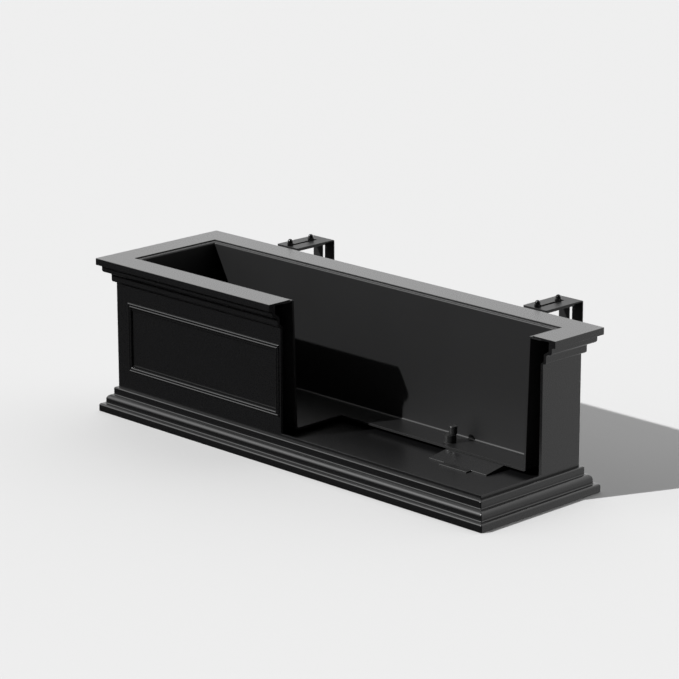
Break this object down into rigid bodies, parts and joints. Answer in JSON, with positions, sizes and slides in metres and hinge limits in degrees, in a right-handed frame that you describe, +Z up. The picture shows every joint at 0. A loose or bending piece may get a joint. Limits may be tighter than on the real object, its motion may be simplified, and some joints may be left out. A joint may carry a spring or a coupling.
{
  "type": "railing planter",
  "caption": "Double-wall rectangular trough planter with stepped crown and plinth, a cut-open corner, an inner liner with drain standpipe, and sliding railing saddle brackets.",
  "frame": {"origin": "middle of the planter's rectangular footprint, on the surface that it stands on", "axes": "+X along the trough and the railing, +Y from the front panel towards the railing, +Z up"},
  "size_m": [0.9144, 0.3942, 0.2855],
  "materials": {
    "shell_plastic": "satin black moulded polyethylene",
    "liner_plastic": "satin black moulded polyethylene",
    "fitting_plastic": "black nylon",
    "gasket_rubber": "matt black",
    "bracket_steel": "black powder coat",
    "fastener_steel": "gloss black coat",
    "insert_brass": "as turned"
  },
  "bodies": {
    "planter": {"outer_shell": "shell_plastic", "inner_liner": "liner_plastic", "standpipe": "fitting_plastic", "standpipe_gasket": "gasket_rubber", "standpipe_nut": "fitting_plastic", "standpipe_cap": "fitting_plastic", "left_bracket_arm": "bracket_steel", "left_arm_studs": "fastener_steel", "left_cap_nuts": "fastener_steel", "left_wall_screws": "fastener_steel", "left_wall_inserts": "insert_brass", "right_bracket_arm": "bracket_steel", "right_arm_studs": "fastener_steel", "right_cap_nuts": "fastener_steel", "right_wall_screws": "fastener_steel", "right_wall_inserts": "insert_brass"},
    "left_hook": {"left_bracket_hook": "bracket_steel"},
    "right_hook": {"right_bracket_hook": "bracket_steel"}
  },
  "joints": [
    {"name": "left_hook_slide", "type": "slide", "parent": "planter", "child": "left_hook", "axis": [0, 1, 0], "range_m": [-0.01, 0]},
    {"name": "right_hook_slide", "type": "slide", "parent": "planter", "child": "right_hook", "axis": [0, 1, 0], "range_m": [-0.01, 0]}
  ]
}
